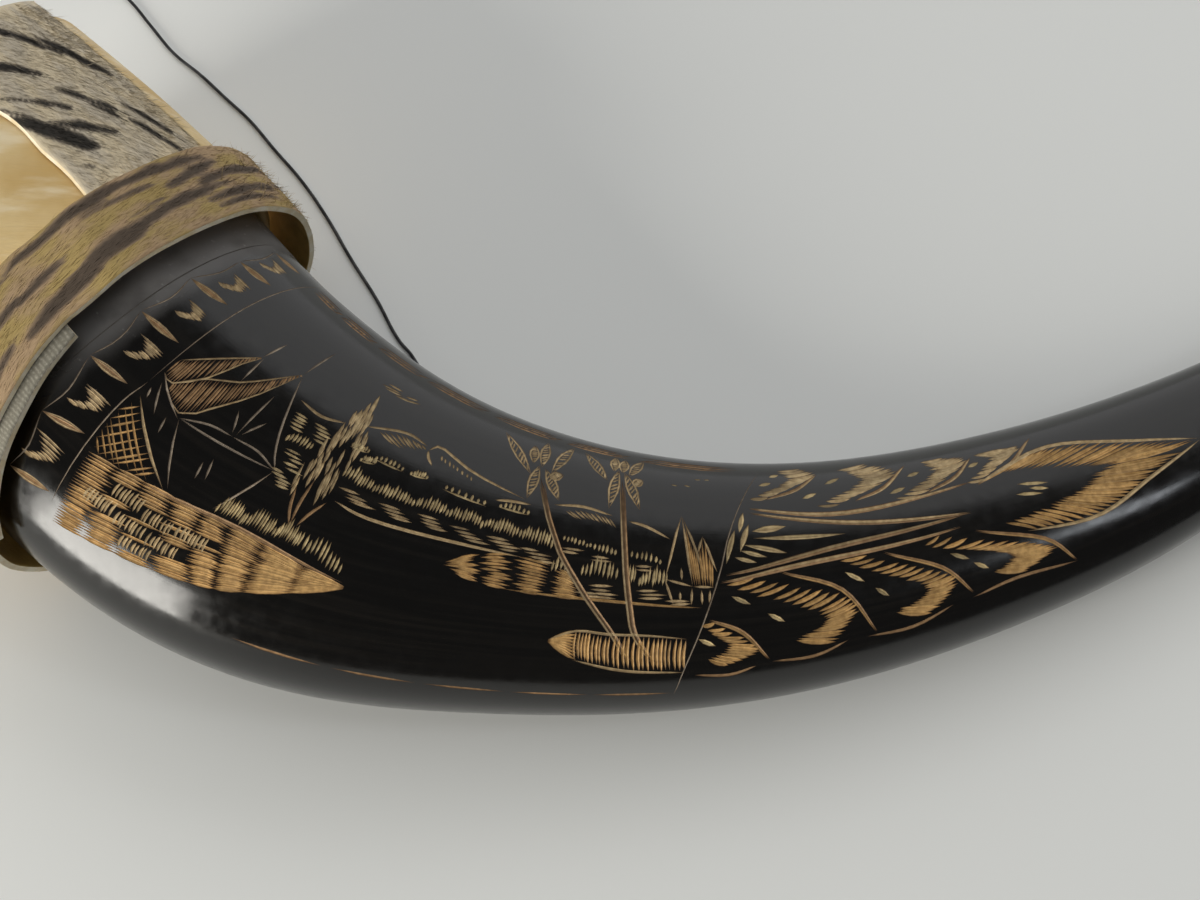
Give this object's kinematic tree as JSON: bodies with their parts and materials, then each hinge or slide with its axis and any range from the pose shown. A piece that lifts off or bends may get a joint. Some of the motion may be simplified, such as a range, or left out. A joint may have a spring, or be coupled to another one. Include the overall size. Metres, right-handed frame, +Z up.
{
  "type": "engraved buffalo horn",
  "caption": "Curved polished black buffalo horn engraved with a landscape and a leaf scroll, its butt end wrapped in rawhide and hairy hide straps, with a thin hanging wire.",
  "frame": {"origin": "on the floor, under the middle of the box of the horn and its wrapping, without the wire", "axes": "+Z up, away from the surface it lies on; +X from the wrapped butt towards the tip; +Y to the concave side"},
  "size_m": [0.5057, 0.2417, 0.0752],
  "materials": {
    "polished_horn": "polished black horn with tan engraved cuts",
    "rawhide": "smooth yellow-cream rawhide",
    "hairy_hide": "hide with short cream and dark brown hair, ochre flesh side",
    "grey_hide": "grey hide with short ribbed hair",
    "dark_wire": "thin dark annealed wire"
  },
  "bodies": {
    "root": {"horn": "polished_horn", "rawhide_cover": "rawhide", "hide_strap_long": "hairy_hide", "hide_strap_ring": "hairy_hide", "hide_strap_end": "grey_hide", "hanging_wire": "dark_wire"}
  },
  "joints": []
}
